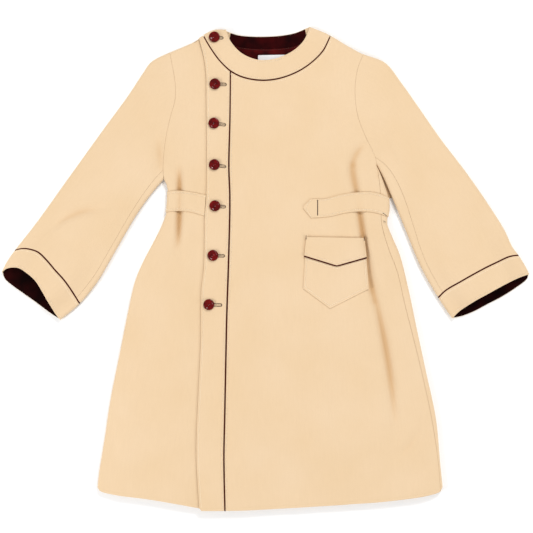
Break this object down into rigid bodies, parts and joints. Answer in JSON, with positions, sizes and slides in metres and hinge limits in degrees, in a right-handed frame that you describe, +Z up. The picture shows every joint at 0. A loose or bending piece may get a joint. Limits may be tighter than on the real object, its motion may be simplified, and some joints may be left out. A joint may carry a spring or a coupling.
{
  "type": "wool coat",
  "caption": "Collarless cream wool coat laid flat, closed with dark red buttons, with piped edges, a waist belt, a patch pocket and piped cuffs.",
  "frame": {"origin": "middle of the coat's outline at the surface that it lies on", "axes": "+Z up out of the surface, through the front; +Y towards the neck; +X towards the viewer's right sleeve"},
  "size_m": [1.058, 0.9694, 0.0299],
  "materials": {
    "wool": "matte felted wool",
    "piping": "matte cord",
    "lining": "satin lining",
    "facing": "dark satin",
    "label": "woven tape",
    "button": "glossy"
  },
  "bodies": {
    "root": {"back": "wool", "front_side": "wool", "front_main": "wool", "placket": "wool", "neck_band_front": "wool", "neck_band_back": "wool", "sleeve_top_left": "wool", "sleeve_under_left": "wool", "sleeve_top_right": "wool", "sleeve_under_right": "wool", "cuff_left": "wool", "cuff_right": "wool", "belt_left": "wool", "belt_back": "wool", "belt_right": "wool", "pocket": "wool", "pocket_flap": "wool", "piping_placket": "piping", "piping_neck": "piping", "piping_cuff_left": "piping", "piping_cuff_right": "piping", "piping_flap": "piping", "lining_back": "lining", "lining_cuff_left": "lining", "lining_cuff_right": "lining", "neck_facing": "facing", "label": "label", "button_1": "button", "button_2": "button", "button_3": "button", "button_4": "button", "button_5": "button", "button_6": "button", "button_7": "button"}
  },
  "joints": []
}
